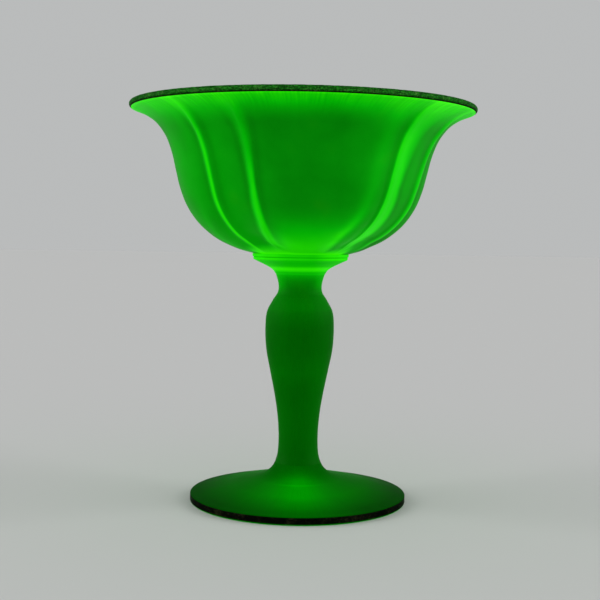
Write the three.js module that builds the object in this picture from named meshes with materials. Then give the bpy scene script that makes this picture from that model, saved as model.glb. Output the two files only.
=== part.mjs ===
// A stemmed art glass comport: a fluted bowl with a flared, metal-banded lip, a wafer under the
// bowl, a baluster stem, and a round foot whose edge carries a second metal band.
// Millimetres, +Z up. The origin is the centre of the surface that the foot rests on.

import * as THREE from 'three';

// Whole object
const RIM_RADIUS = 76.2;
const HEIGHT = 175.5;
const JOINT_GAP = 0.3;

// Bowl
const WALL = 2.8;
const BOWL_SEAT_RADIUS = 21.0;
const BOWL_SEAT_HEIGHT = 110.6;

// Flutes: each quarter turn has a wide panel that bulges and a narrow flute that lies between two
// ridges and is sunk below the panels. A ridge is wider on one side than on the other.
const QUARTER = 90;
const FIRST_RIDGE = -45;
const NARROW_FLUTE = 22.5;
const FLUTE_SINK = 3.2;
const FLUTE_HOLLOW = 0.3;
const RIDGE_HEIGHT = 1.0;
const BROAD_RIDGE_WIDTH = 3.6;
const SLIM_RIDGE_WIDTH = 1.9;

// Where flutes and ridges grow in above the seat and die away below the lip, as shares of the
// outline from the seat to the lip
const FLUTES_FULL_FROM = 0.15;
const FLUTES_FULL_TO = 0.5;
const RIDGES_FULL_TO = 0.8;
const FLUTES_END = 0.97;

// Metal bands
const BAND_THICKNESS = 0.35;
const BAND_CLEARANCE = 0.05;
const RIM_BAND_OUTSIDE_END = -68;
const RIM_BAND_INSIDE_END = 106;
const BAND_END_CLEARANCE = 4;

// Wafer and stem
const WAFER_RADIUS = 21.4;
const WAFER_LOWER_RADIUS = 21.0;
const WAFER_GROOVE_DEPTH = 0.35;
const WAFER_GROOVE_HALF_WIDTH = 0.25;
const WAFER_EDGE_ROUND = 0.4;
const WAFER_EDGE_BOTTOM = 107.7;
const WAFER_GROOVE_HEIGHT = 109.0;
const WAFER_BOTTOM = 101.3;
const WAFER_BOTTOM_RADIUS = 10.8;
const STEM_TOP_RADIUS = 10.6;
const STEM_BOTTOM_RADIUS = 10.1;

// Foot
const FOOT_RADIUS = 48.1;
const FOOT_EDGE_HEIGHT = 3.7;
const FOOT_EDGE_ROUND = 0.35;
const FOOT_JOINT_HEIGHT = 17.0;
const FOOT_JOINT_RADIUS = 10.2;
const FOOT_REST_INNER_RADIUS = 43.0;
const FOOT_REST_OUTER_RADIUS = 47.6;
const FOOT_HOLLOW_DEPTH = 3.0;
const FOOT_BAND_BOTTOM = 0.55;
const FOOT_BAND_TOP = 3.35;

// Fineness of the turned surfaces
const BOWL_SEGMENTS = 96;
const FOOT_SEGMENTS = 64;
const WAFER_SEGMENTS = 40;
const STEM_SEGMENTS = 32;

const GLASS = { color: 0x11a812, roughness: 0.5, metalness: 0 };
const DARK_GOLD = { color: 0x2c2a18, roughness: 0.35, metalness: 1 };

const LIP_RADIUS = WALL / 2;
const LIP_CENTRE = new THREE.Vector2(RIM_RADIUS - LIP_RADIUS, HEIGHT - LIP_RADIUS);

// An outline point: distance from the axis, then height.
const at = (radius, height) => new THREE.Vector2(radius, height);

// Points on a circle about a centre, from one angle to another in degrees.
function arc(centre, radius, fromAngle, toAngle, steps) {
  const points = [];
  for (let step = 0; step <= steps; step += 1) {
    const angle = THREE.MathUtils.degToRad(fromAngle + ((toAngle - fromAngle) * step) / steps);
    points.push(at(centre.x + radius * Math.cos(angle), centre.y + radius * Math.sin(angle)));
  }
  return points;
}

// A smooth curve through hand-picked points, as evenly spaced points.
function smooth(points, steps) {
  return new THREE.SplineCurve(points).getSpacedPoints(steps);
}

// Turns an outline about the vertical axis. Angle 0 is at -Y, and angles grow towards +X.
function turned(outline, segments) {
  const geometry = new THREE.LatheGeometry(outline, segments);
  geometry.rotateX(Math.PI / 2);
  return geometry;
}

function piece(name, geometry, look) {
  const mesh = new THREE.Mesh(geometry, new THREE.MeshStandardMaterial(look));
  mesh.name = name;
  return mesh;
}

// How deep the wall is sunk at an angle past a ridge: 0 on the crown of a wide panel, 1 at a ridge.
function sink(turn) {
  if (turn < NARROW_FLUTE) {
    return 1 + FLUTE_HOLLOW * Math.sin((Math.PI * turn) / NARROW_FLUTE);
  }
  const across = (2 * (turn - NARROW_FLUTE)) / (QUARTER - NARROW_FLUTE) - 1;
  return Math.abs(across) ** 3;
}

// The two ridges beside a narrow flute, 0 to 1. The first has its broad side towards the flute.
function ridges(turn, radius) {
  const pastFirst = turn > QUARTER / 2 ? turn - QUARTER : turn;
  const pastSecond = turn - NARROW_FLUTE;
  const firstWidth = pastFirst > 0 ? BROAD_RIDGE_WIDTH : SLIM_RIDGE_WIDTH;
  const bell = (degrees, width) =>
    Math.exp(-(((THREE.MathUtils.degToRad(degrees) * radius) / width) ** 2));
  return Math.max(bell(pastFirst, firstWidth), bell(pastSecond, SLIM_RIDGE_WIDTH));
}

// Strength of flutes or ridges at a share of the outline, given where they begin to die away.
function strength(share, fullTo) {
  const fromSeat = THREE.MathUtils.smoothstep(share, 0, FLUTES_FULL_FROM);
  const fromLip = 1 - THREE.MathUtils.smoothstep(share, fullTo, FLUTES_END);
  return fromSeat * fromLip;
}

// The outside of the bowl, from its seat up to the lower edge of the lip.
function bowlOutside() {
  const lipStart = arc(LIP_CENTRE, LIP_RADIUS, RIM_BAND_OUTSIDE_END - BAND_END_CLEARANCE, 0, 1)[0];
  return new THREE.SplineCurve([
    at(BOWL_SEAT_RADIUS, BOWL_SEAT_HEIGHT),
    at(28.5, 112.5),
    at(37.5, 116.7),
    at(45.2, 123.1),
    at(50.4, 130.4),
    at(53.6, 138.2),
    at(55.6, 146.0),
    at(57.4, 153.6),
    at(60.2, 161.0),
    at(64.6, 167.0),
    at(70.0, 170.7),
    lipStart,
  ]);
}

// The bowl's wall: its outside, the round lip stepped in to take the band, and its inside.
function bowl() {
  const outsideSteps = 15;
  const insideSteps = 9;
  const outside = bowlOutside();
  const outsidePoints = outside.getSpacedPoints(outsideSteps);
  const bandSeat = LIP_RADIUS - BAND_THICKNESS - BAND_CLEARANCE;
  const lip = arc(
    LIP_CENTRE,
    bandSeat,
    RIM_BAND_OUTSIDE_END - BAND_END_CLEARANCE,
    RIM_BAND_INSIDE_END + BAND_END_CLEARANCE,
    4,
  );
  const inside = [];
  for (let step = insideSteps; step >= 0; step -= 1) {
    const share = step / insideSteps;
    inside.push(outside.getPointAt(share).addScaledVector(normalAt(outside, share), -WALL));
  }
  const innerFloor = at(0, BOWL_SEAT_HEIGHT + WALL);
  const outline = [at(0, BOWL_SEAT_HEIGHT), ...outsidePoints, ...lip, ...inside, innerFloor];
  const geometry = turned(outline, BOWL_SEGMENTS);
  const firstInside = 1 + outsidePoints.length + lip.length;
  for (let step = 0; step <= outsideSteps; step += 1) {
    shapeRow(geometry, outline, step + 1, outside, step / outsideSteps, RIDGE_HEIGHT);
  }
  for (let step = 0; step <= insideSteps; step += 1) {
    shapeRow(geometry, outline, firstInside + step, outside, 1 - step / insideSteps, 0);
  }
  return piece('bowl', geometry, GLASS);
}

// The outward normal of the bowl's outline at a share of its length.
function normalAt(curve, share) {
  const tangent = curve.getTangentAt(share);
  return at(tangent.y, -tangent.x);
}

// Moves one ring of the turned bowl along the outline's normal, to sink the flutes and raise the
// ridges. The inside of the wall follows the flutes but has no ridges.
function shapeRow(geometry, outline, row, curve, share, ridgeHeight) {
  const normal = normalAt(curve, share);
  for (let segment = 0; segment <= BOWL_SEGMENTS; segment += 1) {
    const angle = (360 * (segment % BOWL_SEGMENTS)) / BOWL_SEGMENTS;
    const turn = THREE.MathUtils.euclideanModulo(angle - FIRST_RIDGE, QUARTER);
    const sunk = FLUTE_SINK * sink(turn) * strength(share, FLUTES_FULL_TO);
    const raised = ridgeHeight * ridges(turn, outline[row].x) * strength(share, RIDGES_FULL_TO);
    const point = outline[row].clone().addScaledVector(normal, raised - sunk);
    const bearing = THREE.MathUtils.degToRad(angle);
    geometry.attributes.position.setXYZ(
      segment * outline.length + row,
      point.x * Math.sin(bearing),
      -point.x * Math.cos(bearing),
      point.y,
    );
  }
}

// A thin half-round channel of metal over the lip.
function rimBand() {
  const from = RIM_BAND_OUTSIDE_END;
  const to = RIM_BAND_INSIDE_END;
  const outer = arc(LIP_CENTRE, LIP_RADIUS, from, to, 4);
  const inner = arc(LIP_CENTRE, LIP_RADIUS - BAND_THICKNESS, to, from, 4);
  return piece('rim_gold_band', turned([...outer, ...inner, outer[0]], BOWL_SEGMENTS), DARK_GOLD);
}

// A disc with a grooved edge on a cove that narrows to the neck of the stem.
function wafer() {
  const top = BOWL_SEAT_HEIGHT - JOINT_GAP;
  const cove = smooth(
    [
      at(WAFER_BOTTOM_RADIUS, WAFER_BOTTOM),
      at(12.3, 103.3),
      at(14.9, 105.0),
      at(18.0, 106.5),
      at(WAFER_LOWER_RADIUS - WAFER_EDGE_ROUND, WAFER_EDGE_BOTTOM),
    ],
    6,
  );
  const edge = [
    at(WAFER_LOWER_RADIUS, WAFER_EDGE_BOTTOM + WAFER_EDGE_ROUND),
    at(WAFER_LOWER_RADIUS, WAFER_GROOVE_HEIGHT - WAFER_GROOVE_HALF_WIDTH),
    at(WAFER_LOWER_RADIUS - WAFER_GROOVE_DEPTH, WAFER_GROOVE_HEIGHT),
    at(WAFER_RADIUS, WAFER_GROOVE_HEIGHT + WAFER_GROOVE_HALF_WIDTH),
    at(WAFER_RADIUS, top - WAFER_EDGE_ROUND),
    at(WAFER_RADIUS - WAFER_EDGE_ROUND, top),
  ];
  const outline = [at(0, WAFER_BOTTOM), ...cove, ...edge, at(0, top)];
  return piece('merese', turned(outline, WAFER_SEGMENTS), GLASS);
}

// An inverted baluster: a waist above the foot, a long swell, a shoulder and a short neck.
function stem() {
  const bottom = FOOT_JOINT_HEIGHT + JOINT_GAP;
  const top = WAFER_BOTTOM - JOINT_GAP;
  const side = smooth(
    [
      at(STEM_BOTTOM_RADIUS, bottom),
      at(9.1, 21.5),
      at(8.8, 29.5),
      at(9.5, 39.0),
      at(11.0, 48.5),
      at(13.0, 58.5),
      at(14.8, 68.0),
      at(15.3, 77.0),
      at(14.7, 84.4),
      at(12.2, 89.6),
      at(9.9, 93.4),
      at(9.7, 97.0),
      at(STEM_TOP_RADIUS, top),
    ],
    24,
  );
  return piece('stem', turned([at(0, bottom), ...side, at(0, top)], STEM_SEGMENTS), GLASS);
}

// The foot's top: a shallow cone from the edge, then a cove rising into the stem.
function footTop() {
  return smooth(
    [
      at(FOOT_RADIUS - FOOT_EDGE_ROUND, FOOT_EDGE_HEIGHT),
      at(38.0, 6.0),
      at(27.0, 8.6),
      at(18.5, 10.6),
      at(14.2, 12.4),
      at(11.6, 14.7),
      at(FOOT_JOINT_RADIUS, FOOT_JOINT_HEIGHT),
    ],
    12,
  );
}

// A disc that rests on a flat ring and is hollowed a little inside it; its edge takes the band.
function foot() {
  const bandSeat = FOOT_RADIUS - BAND_THICKNESS - BAND_CLEARANCE;
  const hollow = smooth(
    [
      at(0, FOOT_HOLLOW_DEPTH),
      at(FOOT_REST_INNER_RADIUS / 2, FOOT_HOLLOW_DEPTH * 0.75),
      at(FOOT_REST_INNER_RADIUS, 0),
    ],
    4,
  );
  const edge = [
    at(FOOT_REST_OUTER_RADIUS, 0),
    at(FOOT_RADIUS, FOOT_BAND_BOTTOM - BAND_CLEARANCE),
    at(bandSeat, FOOT_BAND_BOTTOM - BAND_CLEARANCE),
    at(bandSeat, FOOT_BAND_TOP + BAND_CLEARANCE),
    at(FOOT_RADIUS, FOOT_BAND_TOP + BAND_CLEARANCE),
  ];
  const outline = [...hollow, ...edge, ...footTop(), at(0, FOOT_JOINT_HEIGHT)];
  return piece('foot', turned(outline, FOOT_SEGMENTS), GLASS);
}

// A thin hoop of metal flush with the edge of the foot.
function footBand() {
  const outside = FOOT_RADIUS;
  const inside = FOOT_RADIUS - BAND_THICKNESS;
  const outline = [
    at(inside, FOOT_BAND_BOTTOM),
    at(outside, FOOT_BAND_BOTTOM),
    at(outside, FOOT_BAND_TOP),
    at(inside, FOOT_BAND_TOP),
    at(inside, FOOT_BAND_BOTTOM),
  ];
  return piece('foot_gold_band', turned(outline, FOOT_SEGMENTS), DARK_GOLD);
}

const comport = new THREE.Group();
comport.name = 'comport';
comport.add(foot(), footBand(), stem(), wafer(), bowl(), rimBand());

export default comport;
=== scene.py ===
"""The looks of a stemmed comport in satin uranium glass with a painted green glow, built round the CAD
frame.
"""

import math

import bpy
import numpy as np
from mathutils import Matrix, Vector


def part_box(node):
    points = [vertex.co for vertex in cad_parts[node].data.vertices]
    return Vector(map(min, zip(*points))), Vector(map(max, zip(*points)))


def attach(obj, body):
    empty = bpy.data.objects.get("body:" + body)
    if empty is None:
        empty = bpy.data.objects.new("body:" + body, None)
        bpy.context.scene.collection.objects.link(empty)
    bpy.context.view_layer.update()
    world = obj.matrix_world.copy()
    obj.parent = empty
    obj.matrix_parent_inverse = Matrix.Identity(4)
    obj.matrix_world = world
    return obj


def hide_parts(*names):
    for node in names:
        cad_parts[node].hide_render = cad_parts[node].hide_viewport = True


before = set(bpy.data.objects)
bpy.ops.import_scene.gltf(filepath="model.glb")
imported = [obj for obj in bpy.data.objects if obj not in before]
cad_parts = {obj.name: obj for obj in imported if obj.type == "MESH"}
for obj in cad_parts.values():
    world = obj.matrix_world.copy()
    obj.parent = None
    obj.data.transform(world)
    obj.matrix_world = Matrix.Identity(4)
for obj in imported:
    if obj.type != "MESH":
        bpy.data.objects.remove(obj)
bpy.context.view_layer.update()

# ---------------------------------------------------------------- sizes, in millimetres
MM = 0.001


def height_between(lower, upper):
    """The height of the joint between two CAD nodes, in the middle of their gap, in millimetres."""
    return (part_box(lower)[1].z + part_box(upper)[0].z) / 2 / MM


RIM_RADIUS = 76.2
HEIGHT = 175.5
WALL = 2.8
BAND_THICKNESS = 0.35
LIP_RADIUS = WALL / 2
LIP_CENTRE = (RIM_RADIUS - LIP_RADIUS, HEIGHT - LIP_RADIUS)
RIM_BAND_ENDS = (-68.0, 106.0)  # degrees round the lip, from its outer side

FOOT_JOINT = height_between("foot", "stem")
STEM_JOINT = height_between("stem", "merese")
BOWL_JOINT = height_between("merese", "bowl")

BOWL_SEAT_RADIUS = 21.0
BOWL_LEAN = 0.25  # degrees, towards +X
WAFER_RADIUS = 21.4
FOOT_RADIUS = 48.1
FOOT_BAND = (0.55, 3.35)

CREASE_ANGLE = 50.0  # degrees; a bend sharper than this is shaded as a crease

# The bowl's flutes, as in the CAD: angles in degrees, lengths in millimetres
QUARTER = 90.0
FIRST_RIDGE = -45.0
NARROW_FLUTE = 22.5
FLUTE_SINK = 3.2
FLUTE_HOLLOW = 0.3
RIDGE_HEIGHT = 1.0
BROAD_RIDGE_WIDTH = 3.6
SLIM_RIDGE_WIDTH = 1.9
FLUTES_FULL = (0.15, 0.5)
RIDGES_FULL_TO = 0.8
FLUTES_END = 0.97


# ---------------------------------------------------------------- outlines
def smoothstep(value, low, high):
    """0 below low, 1 above high, and a soft rise between."""
    t = np.clip((value - low) / (high - low), 0.0, 1.0)
    return t * t * (3.0 - 2.0 * t)


def bell(distance, width):
    """1 at distance 0, falling off smoothly."""
    return np.exp(-((distance / width) ** 2))


def between(value, points):
    """Straight lines through (value, result) pairs, and level beyond the first and the last."""
    return np.interp(value, *zip(*points))


def sideways(bearings):
    """0 where a piece faces front or back, 1 where it faces a side."""
    return np.abs(np.sin(np.radians(bearings)))


def arc(centre, radius, start, end, steps):
    """Points on a circle in the outline's plane, from one angle to another in degrees."""
    angles = np.radians(np.linspace(start, end, steps + 1))
    return np.column_stack([centre[0] + radius * np.cos(angles), centre[1] + radius * np.sin(angles)])


def line(start, end, steps):
    """Evenly spaced points from start to end, with start left out."""
    share = np.linspace(0.0, 1.0, steps + 1)[1:, None]
    return np.array(start) * (1 - share) + np.array(end) * share


def lengths(points):
    """The distance along an outline at each of its points."""
    steps = np.hypot(*np.diff(points, axis=0).T)
    return np.concatenate([[0.0], np.cumsum(steps)])


def spline(points, steps):
    """A Catmull-Rom curve through given points, as evenly spaced points."""
    points = np.array(points, float)
    padded = np.vstack([points[0], points, points[-1]])
    t = np.linspace(0.0, 1.0, 40, endpoint=False)[:, None]
    spans = []
    for a, b, c, d in zip(padded, padded[1:], padded[2:], padded[3:]):
        start, end = (c - a) / 2, (d - b) / 2
        cubic = (2 * b - 2 * c + start + end) * t**3
        square = (-3 * b + 3 * c - 2 * start - end) * t**2
        spans.append(cubic + square + start * t + b)
    dense = np.vstack([*spans, points[-1]])
    along = lengths(dense)
    wanted = np.linspace(0.0, along[-1], steps + 1)
    return np.column_stack([np.interp(wanted, along, dense[:, k]) for k in (0, 1)])


def outward(points):
    """The outward normal at each point of an outline that runs anticlockwise."""
    tangent = np.gradient(points, axis=0)
    tangent /= np.maximum(np.hypot(*tangent.T), 1e-9)[:, None]
    return np.column_stack([tangent[:, 1], -tangent[:, 0]])


def rounded(points, radius, steps=4):
    """An outline with each inner corner replaced by a small arc-like bend."""
    points = [np.array(p, float) for p in points]
    bent = [points[0]]
    for before, corner, after in zip(points, points[1:], points[2:]):
        back, ahead = before - corner, after - corner
        reach = min(radius, 0.45 * np.hypot(*back), 0.45 * np.hypot(*ahead))
        start = corner + back / np.hypot(*back) * reach
        end = corner + ahead / np.hypot(*ahead) * reach
        for t in np.linspace(0.0, 1.0, steps + 1):
            bent.append((1 - t) ** 2 * start + 2 * t * (1 - t) * corner + t**2 * end)
    bent.append(points[-1])
    return np.array(bent)


# ---------------------------------------------------------------- turned meshes
def bearings_even(count):
    """Evenly spaced angles in degrees. 0 faces -Y, and angles grow towards +X."""
    return np.arange(count) * 360.0 / count


def make_piece(name, corners, faces, uvs, point_values, material):
    """A smooth mesh object from millimetre corners, with a UV map and named point attributes."""
    mesh = bpy.data.meshes.new(name)
    mesh.from_pydata((corners * MM).tolist(), [], faces)
    mesh.polygons.foreach_set("use_smooth", [True] * len(mesh.polygons))
    layer = mesh.uv_layers.new(name="turned")
    layer.data.foreach_set("uv", np.array(uvs, np.float32).ravel())
    for key, values in point_values.items():
        attribute = mesh.attributes.new(key, "FLOAT", "POINT")
        attribute.data.foreach_set("value", np.array(values, np.float32).ravel())
    mesh.materials.append(material)
    mesh.update()
    mesh.set_sharp_from_angle(angle=math.radians(CREASE_ANGLE))
    piece = bpy.data.objects.new(name, mesh)
    bpy.context.scene.collection.objects.link(piece)
    return piece


def turned(name, outline, bearings, material, relief=None, values=None):
    """A piece turned about the vertical axis.

    The outline runs anticlockwise. It starts and ends on the axis, or else it is a closed ring with
    its first point not repeated. relief, bearings by points, moves corners along the outline's
    normal. values gives point attributes of the same shape.
    """
    solid = outline[0][0] < 1e-6
    rows = outline[1:-1] if solid else outline
    with_ends = outline if solid else np.vstack([outline[-1], outline, outline[0]])
    normals = outward(with_ends)[1:-1]
    count, depth = len(bearings), len(rows)
    offset = np.zeros((count, depth)) if relief is None else relief
    angle = np.radians(bearings)[:, None]
    radius = rows[:, 0] + normals[:, 0] * offset
    height = rows[:, 1] + normals[:, 1] * offset
    corners = np.stack([radius * np.sin(angle), -radius * np.cos(angle), height], -1).reshape(-1, 3)
    along = lengths(rows)
    across = np.append(bearings, 360.0 + bearings[0]) / 360.0
    faces, uvs = [], []
    last = depth - 1 if solid else depth
    for i in range(count):
        right = (i + 1) % count
        for j in range(last):
            up = (j + 1) % depth
            faces.append((i * depth + j, right * depth + j, right * depth + up, i * depth + up))
            low, high = along[j] / along[-1], along[up] / along[-1] if up else 1.0
            uvs += [(across[i], low), (across[i + 1], low), (across[i + 1], high), (across[i], high)]
    values = {key: np.asarray(v, float).reshape(-1) for key, v in (values or {}).items()}
    if solid:
        poles = [(0.0, 0.0, outline[0][1]), (0.0, 0.0, outline[-1][1])]
        corners = np.vstack([corners, poles])
        bottom, top = count * depth, count * depth + 1
        for i in range(count):
            right = (i + 1) % count
            faces.append((bottom, right * depth, i * depth))
            faces.append((top, i * depth + depth - 1, right * depth + depth - 1))
            middle = (across[i] + across[i + 1]) / 2
            uvs += [(middle, 0.0), (across[i + 1], 0.0), (across[i], 0.0)]
            uvs += [(middle, 1.0), (across[i], 1.0), (across[i + 1], 1.0)]
        for key, v in values.items():
            grid = v.reshape(count, depth)
            values[key] = np.concatenate([v, [grid[:, 0].mean(), grid[:, -1].mean()]])
    return make_piece(name, corners, faces, uvs, values, material)


def light_values(bearings, glow, body, comb):
    """The attributes of a piece of glass: its painted glow, the painted shade that scales its body's
    colour, and its combed streaks.

    Each is given by bearings and points, or as one value or row for all bearings.
    """
    shape = (len(bearings), glow.shape[-1])
    values = {"glow": glow, "body": body, "comb": comb}
    return {key: np.broadcast_to(value, shape) for key, value in values.items()}


# ---------------------------------------------------------------- materials
def new_material(name):
    """A node material and its Principled shader."""
    material = bpy.data.materials.new(name)
    material.use_nodes = True
    return material, material.node_tree.nodes["Principled BSDF"]


def add(tree, kind, **settings):
    """A new node with its properties set."""
    node = tree.nodes.new(kind)
    for key, value in settings.items():
        setattr(node, key, value)
    return node


def math_node(tree, operation, first, second=None):
    """A math node on sockets or numbers, and its output."""
    node = add(tree, "ShaderNodeMath", operation=operation)
    for socket, value in zip(node.inputs, (first, second)):
        if isinstance(value, (int, float)):
            socket.default_value = value
        elif value is not None:
            tree.links.new(value, socket)
    return node.outputs[0]


def spread(tree, value, low, high, to_low, to_high):
    """Maps a socket's range low..high to to_low..to_high, clamped."""
    node = add(tree, "ShaderNodeMapRange")
    tree.links.new(value, node.inputs["Value"])
    for key, number in zip(("From Min", "From Max", "To Min", "To Max"), (low, high, to_low, to_high)):
        node.inputs[key].default_value = number
    return node.outputs["Result"]


def noise(tree, vector, scale, detail=3.0, roughness=0.5):
    """A noise value over a vector socket."""
    node = add(tree, "ShaderNodeTexNoise")
    node.inputs["Scale"].default_value = scale
    node.inputs["Detail"].default_value = detail
    node.inputs["Roughness"].default_value = roughness
    tree.links.new(vector, node.inputs["Vector"])
    return node.outputs["Fac"]


def stretched(tree, vector, scale):
    """A vector socket scaled by three factors."""
    node = add(tree, "ShaderNodeMapping")
    node.inputs["Scale"].default_value = scale
    tree.links.new(vector, node.inputs["Vector"])
    return node.outputs["Vector"]


def spokes(tree, place):
    """A vector that changes round the axis but hardly along it, for streaks that run up the glass."""
    apart = add(tree, "ShaderNodeSeparateXYZ")
    level = add(tree, "ShaderNodeCombineXYZ")
    unit = add(tree, "ShaderNodeVectorMath", operation="NORMALIZE")
    tree.links.new(place, apart.inputs[0])
    tree.links.new(apart.outputs["X"], level.inputs["X"])
    tree.links.new(apart.outputs["Y"], level.inputs["Y"])
    tree.links.new(level.outputs[0], unit.inputs[0])
    whole = add(tree, "ShaderNodeVectorMath", operation="ADD")
    tree.links.new(unit.outputs["Vector"], whole.inputs[0])
    tree.links.new(stretched(tree, place, (0.0, 0.0, 2.0)), whole.inputs[1])
    return whole.outputs["Vector"]


def point_value(tree, key):
    """A mesh attribute by name."""
    return add(tree, "ShaderNodeAttribute", attribute_name=key).outputs["Fac"]


def colour_ramp(tree, value, stops):
    """A colour ramp over a value, from (position, colour) pairs."""
    node = add(tree, "ShaderNodeValToRGB")
    elements = node.color_ramp.elements
    for element, (position, colour) in zip(elements, (stops[0], stops[-1])):
        element.position = position
        element.color = (*colour, 1.0)
    for position, colour in stops[1:-1]:
        elements.new(position).color = (*colour, 1.0)
    tree.links.new(value, node.inputs["Fac"])
    return node.outputs["Color"]


# Colours over the clouding of the glass, and the painted glow's hue over its strength
GLASS_GREENS = [(0.3, (0.0, 0.27, 0.001)), (0.6, (0.001, 0.32, 0.002)), (0.8, (0.008, 0.33, 0.002))]
GLOW_HUES = [(0.25, (0.0, 1.0, 0.0)), (0.75, (0.05, 1.0, 0.0))]


def satin_glass(name, gloss, sheen):
    """Acid-etched uranium glass: a soft green body darkened by painted shade from the mesh, a fine grain,
    and a painted glow set by the mesh.
    """
    material, shader = new_material(name)
    tree = material.node_tree
    place = add(tree, "ShaderNodeTexCoord").outputs["Object"]

    cloud = noise(tree, place, 55.0, 4.0)
    tint = colour_ramp(tree, cloud, GLASS_GREENS)
    # The body's colour is scaled by the mesh's body values: painted shade.
    body = add(tree, "ShaderNodeVectorMath", operation="SCALE")
    tree.links.new(tint, body.inputs[0])
    tree.links.new(point_value(tree, "body"), body.inputs["Scale"])
    tree.links.new(body.outputs["Vector"], shader.inputs["Base Color"])

    grain = noise(tree, place, 2600.0, 2.0, 0.6)
    satin = spread(tree, cloud, 0.3, 0.7, 0.40, 0.50)
    rough = math_node(tree, "ADD", satin, spread(tree, grain, 0.3, 0.7, -0.04, 0.04))
    tree.links.new(rough, shader.inputs["Roughness"])

    combed = spread(tree, noise(tree, spokes(tree, place), 70.0, 2.0), 0.35, 0.65, -0.5, 0.5)
    combing = math_node(tree, "MULTIPLY", combed, point_value(tree, "comb"))
    mottle = math_node(tree, "ADD", spread(tree, cloud, 0.25, 0.75, 0.92, 1.08), combing)
    # The emission is painted glow: the glass lit from within where no lamp lights it, with its light and
    # shade painted in.
    glow = math_node(tree, "MULTIPLY", point_value(tree, "glow"), mottle)
    tree.links.new(glow, shader.inputs["Emission Strength"])
    tree.links.new(colour_ramp(tree, glow, GLOW_HUES), shader.inputs["Emission Color"])

    bump = add(tree, "ShaderNodeBump")
    bump.inputs["Strength"].default_value = 0.25
    bump.inputs["Distance"].default_value = 0.00005
    tree.links.new(grain, bump.inputs["Height"])
    tree.links.new(bump.outputs["Normal"], shader.inputs["Normal"])

    shader.inputs["IOR"].default_value = 1.5
    shader.inputs["Specular IOR Level"].default_value = gloss
    shader.inputs["Subsurface Weight"].default_value = 0.2
    shader.inputs["Subsurface Radius"].default_value = (0.4, 1.0, 0.3)
    shader.inputs["Subsurface Scale"].default_value = 0.002
    shader.inputs["Sheen Weight"].default_value = sheen
    shader.inputs["Sheen Roughness"].default_value = 0.2
    shader.inputs["Sheen Tint"].default_value = (0.0, 1.0, 0.0, 1.0)
    return material


def dark_gold(name, dark, mid, bright):
    """A grainy band of fired metal, coloured dark as painted shade, with painted green glints in the pits
    of its grain.
    """
    material, shader = new_material(name)
    tree = material.node_tree
    place = add(tree, "ShaderNodeTexCoord").outputs["Object"]
    patch = noise(tree, place, 300.0, 4.0, 0.6)
    grain = noise(tree, place, 1500.0, 3.0, 0.6)
    crust = math_node(tree, "MULTIPLY", math_node(tree, "ADD", patch, grain), 0.5)
    metal = colour_ramp(tree, crust, [(0.36, dark), (0.52, mid), (0.68, bright)])
    tree.links.new(metal, shader.inputs["Base Color"])
    tree.links.new(spread(tree, grain, 0.3, 0.7, 0.28, 0.6), shader.inputs["Roughness"])
    # Painted green glints where the grain is high.
    glint_grain = spread(tree, grain, 0.42, 0.60, 0.45, 1.35)
    glow = math_node(tree, "MULTIPLY", glint_grain, point_value(tree, "glow"))
    tree.links.new(glow, shader.inputs["Emission Strength"])
    shader.inputs["Emission Color"].default_value = (0.06, 1.0, 0.05, 1.0)
    bump = add(tree, "ShaderNodeBump")
    bump.inputs["Strength"].default_value = 0.5
    bump.inputs["Distance"].default_value = 0.0001
    tree.links.new(grain, bump.inputs["Height"])
    tree.links.new(bump.outputs["Normal"], shader.inputs["Normal"])
    shader.inputs["Metallic"].default_value = 0.85
    shader.inputs["Specular IOR Level"].default_value = 0.1
    # A green tint on the metal's reflection: a painted reflection of the glowing glass.
    shader.inputs["Specular Tint"].default_value = (0.15, 0.35, 0.12, 1.0)
    return material


BOWL_GLASS = satin_glass("satin_glass_bowl", gloss=0.02, sheen=0.04)
STEM_GLASS = satin_glass("satin_glass_stem", gloss=0.01, sheen=0.25)
FOOT_GLASS = satin_glass("satin_glass_foot", gloss=0.003, sheen=0.02)
# The bands are coloured near black as painted shade, and the rim's is tinted green as a painted
# reflection of the glowing glass.
RIM_GOLD = dark_gold(
    "dark_gold_rim", dark=(0.001, 0.004, 0.001), mid=(0.005, 0.012, 0.003), bright=(0.06, 0.08, 0.03),
)
FOOT_GOLD = dark_gold(
    "dark_gold_foot", dark=(0.001, 0.001, 0.0008), mid=(0.003, 0.0034, 0.002), bright=(0.03, 0.03, 0.014),
)


# ---------------------------------------------------------------- the bowl
def bowl_outside(steps):
    """The bowl's outside from its seat to the lower edge of the lip, as in the CAD."""
    lip_start = arc(LIP_CENTRE, LIP_RADIUS, RIM_BAND_ENDS[0], 0.0, 1)[0]
    points = [
        (BOWL_SEAT_RADIUS, BOWL_JOINT), (28.5, 112.5), (37.5, 116.7), (45.2, 123.1), (50.4, 130.4),
        (53.6, 138.2), (55.6, 146.0), (57.4, 153.6), (60.2, 161.0), (64.6, 167.0), (70.0, 170.7),
        tuple(lip_start),
    ]
    return spline(points, steps)


def bowl_bearings():
    """Angles round the bowl, closer together on the ridges."""
    ridge_step, flute_step, panel_step, reach = 0.4, 1.1, 1.5, 5.0
    parts = [
        np.arange(-reach, reach, ridge_step),
        np.arange(reach, NARROW_FLUTE - reach, flute_step),
        np.arange(NARROW_FLUTE - reach, NARROW_FLUTE + reach, ridge_step),
        np.arange(NARROW_FLUTE + reach, QUARTER - reach, panel_step),
    ]
    quarter = np.concatenate(parts)
    return np.concatenate([FIRST_RIDGE + quarter + QUARTER * k for k in range(4)])
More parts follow.
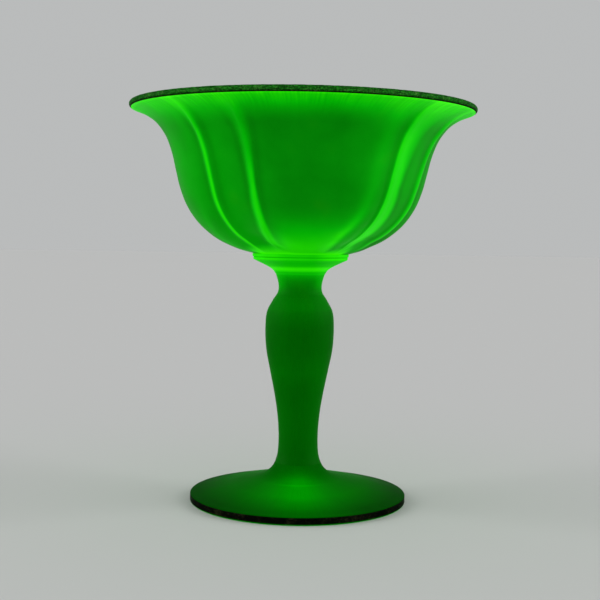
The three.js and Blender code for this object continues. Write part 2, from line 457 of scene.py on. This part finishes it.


# The kinds of ridge. Each has three rows of values at six shares of the outline: how far its painted
# glow, a painted highlight along the ridge, reaches before and after it, in degrees, and how strong the
# glow is. Last comes the softness of the glow's two edges, as a part of its reach.
RIDGE_SHARES = (0.05, 0.12, 0.3, 0.5, 0.75, 0.88)
SHARP_FIRST = (
    (3.0, 2.0, 1.6, 1.3, 1.4, 3.0),
    (0.8, 0.8, 0.8, 0.9, 1.0, 1.2),
    (0.30, 0.34, 0.42, 0.42, 0.36, 0.16),
    (0.9, 0.5),
)
SOFT_SECOND = (
    (6.0, 4.0, 2.8, 1.6, 2.4, 4.0),
    (12.0, 7.0, 2.4, 1.3, 1.6, 2.0),
    (0.2, 0.3, 0.36, 0.36, 0.15, 0.09),
    (0.9, 0.4),
)
BROAD_FIRST = (
    (1.5, 1.0, 1.0, 0.8, 0.8, 1.0),
    (2.0, 12.5, 10.5, 7.8, 8.5, 11.0),
    (0.25, 0.33, 0.36, 0.34, 0.32, 0.20),
    (0.5, 0.2),
)
SHARP_SECOND = (
    (1.8, 1.8, 1.5, 1.4, 1.6, 1.8),
    (1.5, 1.5, 1.4, 1.3, 1.5, 1.8),
    (0.24, 0.34, 0.38, 0.34, 0.28, 0.2),
    (0.6, 0.5),
)

# The eight ridges as they lie on this bowl: the CAD's angle, how far the hand-finished ridge
# strays from it at the same six shares, and the kind of ridge. Angles are in degrees.
RIDGES = [
    (-45.0, (2.0, -2.6, -1.4, -1.0, -1.2, -1.2), SHARP_FIRST),
    (-22.5, (3.0, -2.6, 0.0, -0.2, -1.0, -2.0), SOFT_SECOND),
    (45.0, (-4.0, -2.6, -1.2, -0.4, 0.2, 1.0), BROAD_FIRST),
    (67.5, (6.0, 14.0, 8.4, 6.6, 7.0, 7.2), SHARP_SECOND),
    (135.0, (1.8, 1.8, 0.8, 0.2, -0.4, -1.0), SHARP_FIRST),
    (157.5, (-0.8, -0.8, 0.2, 0.6, 1.2, 1.6), SOFT_SECOND),
    (225.0, (-1.5, -1.5, 0.2, 1.0, 1.2, 1.4), BROAD_FIRST),
    (247.5, (4.0, 4.0, 3.2, 2.6, 2.4, 2.0), SHARP_SECOND),
]


def true_bearings(bearings, share):
    """The CAD's angle for each point of the bowl, by bearing and share of the outline.

    It is warped between the ridges, so that each ridge strays a little from the CAD's as it climbs.
    """
    centres = np.array([ridge[0] for ridge in RIDGES])
    strays = np.array([np.interp(share, RIDGE_SHARES, ridge[1]) for ridge in RIDGES])
    there = np.concatenate([centres[-2:] - 360.0, centres, centres[:2] + 360.0])
    warped = np.empty((len(bearings), len(share)))
    for column in range(len(share)):
        here = centres + strays[:, column]
        here = np.concatenate([here[-2:] - 360.0, here, here[:2] + 360.0])
        warped[:, column] = np.interp(bearings, here, there)
    return warped


def sink(turn):
    """How deep the wall is sunk: 0 on the crown of a wide panel, 1 at a ridge."""
    flute = 1.0 + FLUTE_HOLLOW * np.sin(np.pi * np.clip(turn / NARROW_FLUTE, 0.0, 1.0))
    across = 2.0 * (turn - NARROW_FLUTE) / (QUARTER - NARROW_FLUTE) - 1.0
    return np.where(turn < NARROW_FLUTE, flute, np.abs(across) ** 3)


def ridges(turn, radius):
    """The two ridges beside a narrow flute, 0 to 1. The first has its broad side to the flute."""
    past_first = np.where(turn > QUARTER / 2, turn - QUARTER, turn)
    first_width = np.where(past_first > 0.0, BROAD_RIDGE_WIDTH, SLIM_RIDGE_WIDTH)
    first = bell(np.radians(past_first) * radius, first_width)
    second = bell(np.radians(turn - NARROW_FLUTE) * radius, SLIM_RIDGE_WIDTH)
    return np.maximum(first, second)


def strength(share, full_to):
    """How strong flutes or ridges are at a share of the outline from the seat to the lip."""
    return smoothstep(share, 0.0, FLUTES_FULL[0]) * (1.0 - smoothstep(share, full_to, FLUTES_END))


def lean(piece):
    """Tilts a piece about the bowl's seat by the small lean that the bowl has on its stem."""
    pivot = Vector((0.0, 0.0, BOWL_JOINT * MM))
    tilt = Matrix.Rotation(math.radians(BOWL_LEAN), 4, "Y")
    piece.data.transform(Matrix.Translation(pivot) @ tilt @ Matrix.Translation(-pivot))
    return piece


def bowl():
    """The fluted bowl, with its lip drawn in under the band."""
    outside_steps, inside_steps = 130, 60
    outer = bowl_outside(outside_steps)
    inner = (outer - outward(outer) * WALL)[::-1]
    inner = inner[np.linspace(0, outside_steps, inside_steps + 1).round().astype(int)]
    seat = line((0.0, BOWL_JOINT), outer[0], 5)[:-1]
    lip = arc(LIP_CENTRE, LIP_RADIUS - BAND_THICKNESS, RIM_BAND_ENDS[0], RIM_BAND_ENDS[1], 10)
    bottom = line(inner[-1], (0.0, BOWL_JOINT + WALL), 8)
    outline = np.vstack([[(0.0, BOWL_JOINT)], seat, outer, lip, inner, bottom])

    share = np.zeros(len(outline))
    is_outer = np.zeros(len(outline), bool)
    first_outer = 1 + len(seat)
    first_inner = first_outer + len(outer) + len(lip)
    share[first_outer:first_outer + len(outer)] = np.linspace(0.0, 1.0, len(outer))
    share[first_outer + len(outer):first_inner] = 1.0
    share[first_inner:first_inner + len(inner)] = np.linspace(1.0, 0.0, len(inner))
    is_outer[first_outer:first_outer + len(outer)] = True

    bearings = bowl_bearings()
    rows = slice(1, -1)
    true = true_bearings(bearings, share[rows])
    turn = np.mod(true - FIRST_RIDGE, QUARTER)
    ridge = ridges(turn, np.maximum(outline[rows, 0], 1.0)) * strength(share[rows], RIDGES_FULL_TO)
    sunk = FLUTE_SINK * sink(turn) * strength(share[rows], FLUTES_FULL[1])
    relief = np.where(is_outer[rows], RIDGE_HEIGHT * ridge - sunk, sunk)

    glow, body = bowl_light(true, bearings[:, None], share[rows], is_outer[rows])
    values = light_values(bearings, glow, body, 0.25 * smoothstep(share[rows], 0.82, 0.95))
    return lean(turned("satin_bowl", outline, bearings, BOWL_GLASS, relief, values))


BASE_GLOW = 0.027
INSIDE_BODY = 0.9
# Painted shade on the outside's body colour, by share of the outline: darker towards the seat
OUTSIDE_BODY_SHADE = [(0.0, 0.55), (0.12, 0.7), (0.28, 1.0)]  # by share of the outline

# The soft painted highlight on the shoulder before each broad ridge, by share of the outline: its place
# past the first ridge in degrees, and its glow
SHOULDER_TURN = [
    (0.15, 69.0), (0.23, 71.0), (0.28, 73.0), (0.33, 74.7), (0.42, 77.0), (0.5, 78.3),
    (0.7, 80.0), (0.85, 81.0),
]
SHOULDER_GLOW = [
    (0.1, 0.0), (0.2, 0.1), (0.28, 0.25), (0.34, 0.23), (0.42, 0.1), (0.5, 0.06), (0.7, 0.06),
    (0.85, 0.09), (1.0, 0.0),
]


def bowl_light(true, bearings, share, is_outer):
    """The bowl's painted glow, and the painted shade on its body's colour.

    The painted glow, light and shade painted in as emission, is brightest at the ridges, where the
    glass runs into the wafer and at the lip. The inside glows more evenly, with a quarter of the
    outside's pattern showing through.
    """
    ridge_glow, shade_lines = ridge_light(true, share)
    pattern = wall_light(np.mod(true - FIRST_RIDGE, QUARTER), bearings, share) + ridge_glow
    # Painted shade: the outside's body colour darker towards the seat and along lines beside the ridges
    outside_body_shade = between(share, OUTSIDE_BODY_SHADE) - shade_lines

    at_floor = 0.20 * (1.0 - smoothstep(share, 0.0, 0.25))
    at_lip = 0.25 * smoothstep(share, 0.85, 1.0)
    inside = 0.10 + at_floor + at_lip + 0.25 * pattern * smoothstep(share, 0.1, 0.3)
    glow = np.where(is_outer, BASE_GLOW + pattern, inside)
    return glow, np.where(is_outer, outside_body_shade, INSIDE_BODY)


def wall_light(turn, bearings, share):
    """The painted glow of the wall between the ridges: light and shade painted in as emission.

    It is strong at the seat, stronger where the wall faces front or back, fills the wide panels low
    down and rises below the lip. A soft painted highlight runs up each panel's shoulder, and the
    wall's sides glow a little.
    """
    forward = np.abs(np.cos(np.radians(bearings)))
    aside = sideways(bearings)
    facing = smoothstep(forward, 0.50, 0.78)
    panel = smoothstep(turn, 23.0, 38.0) * (1.0 - smoothstep(turn, 68.0, 76.0))
    crown = bell(turn - 54.0, 20.0)

    seat = (0.58 * smoothstep(forward, 0.45, 0.66) + 0.04) * (1.0 - smoothstep(share, 0.0, 0.12))
    low = 0.45 * (1.0 - smoothstep(share, 0.10, 0.44)) * (0.22 + 0.78 * panel) * (0.12 + 0.88 * facing)
    shoulder = bell(turn - between(share, SHOULDER_TURN), 3.8) * (0.3 + 0.7 * facing)
    skirt = np.maximum(smoothstep(turn, 30.0, 60.0), smoothstep(aside, 0.65, 0.85))
    skirt = skirt * smoothstep(share, 0.0, 0.06) * (1.0 - smoothstep(share, 0.12, 0.32))
    flank = smoothstep(aside, 0.2, 0.75) * (1.0 - smoothstep(aside, 0.93, 1.0)) * (0.055 + 0.09 * skirt)
    high = 0.38 * smoothstep(share, 0.78 + 0.02 * crown, 1.0) + 0.20 * smoothstep(share, 0.975, 1.0)
    return np.maximum(seat, low) + shoulder * between(share, SHOULDER_GLOW) + flank + high


def ridge_light(true, share):
    """The painted glow that the ridges add as painted highlights, and the painted shade of the dark line
    along each side of a ridge.
    """
    shade_line_gap, shade_line_width, shade_line_darkness = 2.6, 1.5, 0.18
    looser = 0.4 * smoothstep(share, 0.52, 0.75)
    glow, shade_lines = np.zeros_like(true), np.zeros_like(true)
    for centre, _, (before, after, power, softness) in RIDGES:
        offset = np.mod(true - centre + 180.0, 360.0) - 180.0
        start = np.interp(share, RIDGE_SHARES, before)
        end = np.interp(share, RIDGE_SHARES, after)
        soft_start = 0.3 + (softness[0] + 0.3 * looser) * start
        soft_end = 0.3 + (softness[1] + looser) * end
        crest = smoothstep(offset, -start - soft_start, -start + soft_start)
        crest = crest * (1.0 - smoothstep(offset, end - soft_end, end + soft_end))
        glow += np.interp(share, RIDGE_SHARES, power) * crest
        shade_lines += bell(offset + start + shade_line_gap, shade_line_width) + bell(offset - end - shade_line_gap, shade_line_width)
    shade_lines *= shade_line_darkness * smoothstep(share, 0.25, 0.45) * (1.0 - smoothstep(share, 0.8, 0.95))
    return glow * smoothstep(share, 0.0, 0.12), shade_lines


# ---------------------------------------------------------------- wafer, stem and foot
def wafer():
    """A disc with a grooved edge on a cove that narrows to the neck."""
    top, groove = BOWL_JOINT, 109.0
    cove = spline([(10.8, STEM_JOINT), (12.3, 103.3), (14.9, 105.0), (18.0, 106.5), (20.6, 107.7)], 40)
    corners = [
        cove[-1], (21.0, 108.0), (21.0, 108.8), (20.7, groove), (WAFER_RADIUS, 109.2),
        (WAFER_RADIUS, top), (20.8, top),
    ]
    edge = rounded(corners, 0.35)
    under = line((0.0, STEM_JOINT), cove[0], 4)[:-1]
    outline = np.vstack([[(0.0, STEM_JOINT)], under, cove, edge[1:], line(edge[-1], (0.0, top), 5)])

    bearings = bearings_even(240)
    height = outline[1:-1, 1]
    # The wafer's painted glow, by height, brightest on the cove and the edge.
    glow_up = [
        (101.1, 0.20), (101.8, 0.34), (102.3, 0.26), (102.9, 0.48), (103.7, 0.62), (104.4, 0.56),
        (105.2, 0.34), (106.6, 0.30), (107.6, 0.34), (108.2, 0.45), (108.8, 0.42), (109.0, 0.22),
        (109.3, 0.42), (110.3, 0.40),
    ]
    # Painted highlights at the wafer's sides, on its edge and on the cove below it.
    aside = sideways(bearings)[:, None]
    on_edge = smoothstep(height, 107.2, 108.2) * (1.0 - 0.8 * bell(height - groove, 0.25))
    at_sides = smoothstep(aside, 0.25, 0.6) * on_edge
    at_sides = at_sides + 0.35 * smoothstep(aside, 0.5, 1.0) * (1.0 - on_edge)
    values = light_values(bearings, between(height, glow_up) + 0.13 * at_sides, body=0.9, comb=0.0)
    return turned("satin_wafer", outline, bearings, STEM_GLASS, None, values)


def stem():
    """An inverted baluster with a neck, a long swell and a waist."""
    side = spline(
        [
            (10.2, FOOT_JOINT), (9.1, 21.5), (8.8, 29.5), (9.5, 39.0), (11.0, 48.5), (13.0, 58.5),
            (14.8, 68.0), (15.3, 77.0), (14.7, 84.4), (12.2, 89.6), (9.9, 93.4), (9.7, 97.0),
            (10.8, STEM_JOINT),
        ],
        220,
    )
    under = line((0.0, FOOT_JOINT), side[0], 3)[:-1]
    outline = np.vstack([[(0.0, FOOT_JOINT)], under, side, line(side[-1], (0.0, STEM_JOINT), 3)])

    bearings = bearings_even(200)
    height = outline[1:-1, 1]
    # The stem's painted glow, by height, brightest towards the wafer.
    glow_up = [
        (17.0, 0.05), (25.0, 0.06), (50.0, 0.06), (58.0, 0.072), (68.0, 0.056), (78.0, 0.056),
        (86.0, 0.082), (89.0, 0.06), (92.0, 0.03), (95.0, 0.05), (97.0, 0.08), (98.5, 0.11),
        (100.0, 0.18), (101.2, 0.26),
    ]
    # Painted shade on the stem's body colour: darker low down, lighter towards the wafer.
    body_shade_up = [(17.0, 0.20), (60.0, 0.20), (85.0, 0.22), (91.0, 0.44), (101.0, 0.5)]
    # A painted highlight on the sides of the neck.
    neck_sides = smoothstep(sideways(bearings)[:, None], 0.5, 0.95) * bell(height - 97.5, 4.5)
    glow = between(height, glow_up) + 0.12 * neck_sides
    values = light_values(bearings, glow, between(height, body_shade_up), comb=0.15)
    return turned("satin_stem", outline, bearings, STEM_GLASS, None, values)


def foot():
    """A disc on a flat ring, hollowed below, with a low cone and a cove above."""
    band_seat = FOOT_RADIUS - BAND_THICKNESS
    hollow = spline([(0.0, 3.0), (21.5, 2.25), (43.0, 0.0)], 40)
    edge = rounded(
        [
            hollow[-1], (47.6, 0.0), (FOOT_RADIUS, FOOT_BAND[0]), (band_seat, FOOT_BAND[0]),
            (band_seat, FOOT_BAND[1]), (FOOT_RADIUS, FOOT_BAND[1]), (47.8, 3.7), (46.5, 4.0),
        ],
        0.25,
    )
    top = spline(
        [
            (46.5, 4.0), (38.0, 6.0), (27.0, 8.6), (18.5, 10.6), (14.2, 12.4), (11.6, 14.7),
            (10.2, FOOT_JOINT),
        ],
        90,
    )
    outline = np.vstack([hollow, edge[1:-1], top, line(top[-1], (0.0, FOOT_JOINT), 3)])

    bearings = bearings_even(280)
    radius = outline[1:-1, 0]
    height = outline[1:-1, 1]
    # The foot's painted glow by radius, stronger towards front and back than at the sides.
    base_out = [(10.0, 0.05), (13.0, 0.07), (20.0, 0.10), (30.0, 0.09), (36.0, 0.065), (44.0, 0.03)]
    # A painted reflection of the glowing stem and bowl, running to the front and back, with a painted
    # highlight line at the foot of the cove.
    painted_reflection_out = [
        (10.0, 0.0), (12.0, 0.02), (16.0, 0.11), (18.6, 0.11), (19.5, 0.19), (20.4, 0.11),
        (31.0, 0.13), (35.0, 0.09), (40.0, 0.07), (45.0, 0.05),
    ]
    # Painted shade on the foot's body colour: darker towards the edge.
    body_shade_out = [(0.0, 0.2), (8.0, 0.2), (16.0, 0.2), (30.0, 0.17), (42.0, 0.12), (48.0, 0.1)]
    from_front = np.degrees(np.arcsin(sideways(bearings)))[:, None]
    top_glow = between(radius, base_out) * (0.6 + 0.6 * bell(from_front, 55.0))
    top_glow = top_glow + between(radius, painted_reflection_out) * bell(from_front, 26.0)
    # The bare ring below the band has a brighter painted glow.
    is_ring = (height < 0.6) & (radius > 43.5)
    glow = np.where(height > 3.5, top_glow, np.where(is_ring, 0.16, 0.04))
    values = light_values(bearings, glow, between(radius, body_shade_out), comb=0.1)
    return turned("satin_foot", outline, bearings, FOOT_GLASS, None, values)


# ---------------------------------------------------------------- metal bands
def grains(count, depth, seed):
    """Random grain heights, 0 to 1, smoothed once over their neighbours and wrapped round."""
    field = np.random.default_rng(seed).random((count, depth))
    return (field + np.roll(field, 1, 0) + np.roll(field, -1, 0)) / 3.0


def rim_band():
    """The grainy band round the lip."""
    outer = arc(LIP_CENTRE, LIP_RADIUS, RIM_BAND_ENDS[0], RIM_BAND_ENDS[1], 18)
    inner = arc(LIP_CENTRE, LIP_RADIUS - BAND_THICKNESS, RIM_BAND_ENDS[1], RIM_BAND_ENDS[0], 8)
    outline = np.vstack([outer, inner])
    bearings = bearings_even(900)
    crust = np.zeros(len(outline))
    angle = np.linspace(RIM_BAND_ENDS[0], RIM_BAND_ENDS[1], len(outer))
    crust[:len(outer)] = smoothstep(angle, -50.0, -15.0) * (1.0 - smoothstep(angle, 85.0, 104.0))
    grain = grains(len(bearings), len(outline), 11)
    relief = 0.16 * (grain - 0.6) * crust
    # Painted green glints on the band's grain, where its crust is.
    glow = 0.20 * crust * grain
    return lean(turned("rim_band", outline, bearings, RIM_GOLD, relief, {"glow": glow}))


def foot_band():
    """The band on the edge of the foot."""
    inside = FOOT_RADIUS - BAND_THICKNESS
    low, high = FOOT_BAND
    start = (inside, 2.0)
    corners = [start, (inside, low), (FOOT_RADIUS, low), (FOOT_RADIUS, high), (inside, high), start]
    outline = rounded(corners, 0.12)[:-1]
    bearings = bearings_even(500)
    glow = np.zeros((len(bearings), len(outline)))
    return turned("foot_band", outline, bearings, FOOT_GOLD, None, {"glow": glow})


PIECES = [
    (bowl(), "bowl", "satin_uranium_glass"),
    (rim_band(), "rim_gold_band", "dark_gold"),
    (wafer(), "merese", "satin_uranium_glass"),
    (stem(), "stem", "satin_uranium_glass"),
    (foot(), "foot", "satin_uranium_glass"),
    (foot_band(), "foot_gold_band", "dark_gold"),
]
for piece, node, slot in PIECES:
    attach(piece, "root")
    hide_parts(node)


# ---------------------------------------------------------------- stage, light and camera
FLOOR_GREY = (0.60, 0.60, 0.595, 1.0)
SKY_COLOUR = (0.98, 1.0, 1.0, 1.0)
SKY_STRENGTH = 0.50
SUN_STRENGTH = 1.6
SUN_SPREAD = 50.0  # degrees

# The camera that was fitted to the photo: lengths in metres, angles in degrees
CAMERA_PLACE = (0.0, -0.50866, 0.120)
CAMERA_LENS = 68.56  # millimetres, on a sensor 36 wide
CAMERA_DOWN = 3.396
CAMERA_ROLL = 0.8


def floor():
    """A large plain pale floor."""
    mesh = bpy.data.meshes.new("floor")
    reach = 6.0
    corners = [(-reach, -reach, 0), (reach, -reach, 0), (reach, reach, 0), (-reach, reach, 0)]
    mesh.from_pydata(corners, [], [(0, 1, 2, 3)])
    plane = bpy.data.objects.new("floor", mesh)
    bpy.context.scene.collection.objects.link(plane)
    material, shader = new_material("pale_floor")
    shader.inputs["Base Color"].default_value = FLOOR_GREY
    shader.inputs["Roughness"].default_value = 0.85
    shader.inputs["Specular IOR Level"].default_value = 0.0
    mesh.materials.append(material)


def soft_sun(name, side):
    """Soft light that comes from one side, as from a large distant soft box."""
    light = bpy.data.lights.new(name, "SUN")
    light.energy = SUN_STRENGTH
    light.angle = math.radians(SUN_SPREAD)
    lamp = bpy.data.objects.new(name, light)
    lamp.rotation_euler = (-Vector(side)).to_track_quat("-Z", "Y").to_euler()
    bpy.context.scene.collection.objects.link(lamp)


def studio():
    """Even pale light from all round, and a soft light on each side."""
    world = bpy.data.worlds.new("studio")
    world.use_nodes = True
    sky = world.node_tree.nodes["Background"]
    sky.inputs["Color"].default_value = SKY_COLOUR
    sky.inputs["Strength"].default_value = SKY_STRENGTH
    bpy.context.scene.world = world
    soft_sun("side_left", (-1.0, -0.05, 0.35))
    soft_sun("side_right", (1.0, -0.05, 0.35))


def camera():
    """A long lens half a metre away, a little above the stem's shoulder, rolled very slightly."""
    data = bpy.data.cameras.new("camera")
    data.sensor_width = 36.0
    data.lens = CAMERA_LENS
    data.clip_start, data.clip_end = 0.01, 30.0
    view = bpy.data.objects.new("camera", data)
    tilt = Matrix.Rotation(math.radians(90.0 - CAMERA_DOWN), 4, "X")
    roll = Matrix.Rotation(math.radians(CAMERA_ROLL), 4, "Z")
    view.matrix_world = Matrix.Translation(CAMERA_PLACE) @ tilt @ roll
    bpy.context.scene.collection.objects.link(view)
    bpy.context.scene.camera = view


floor()
studio()
camera()
bpy.context.scene.view_settings.view_transform = "Standard"
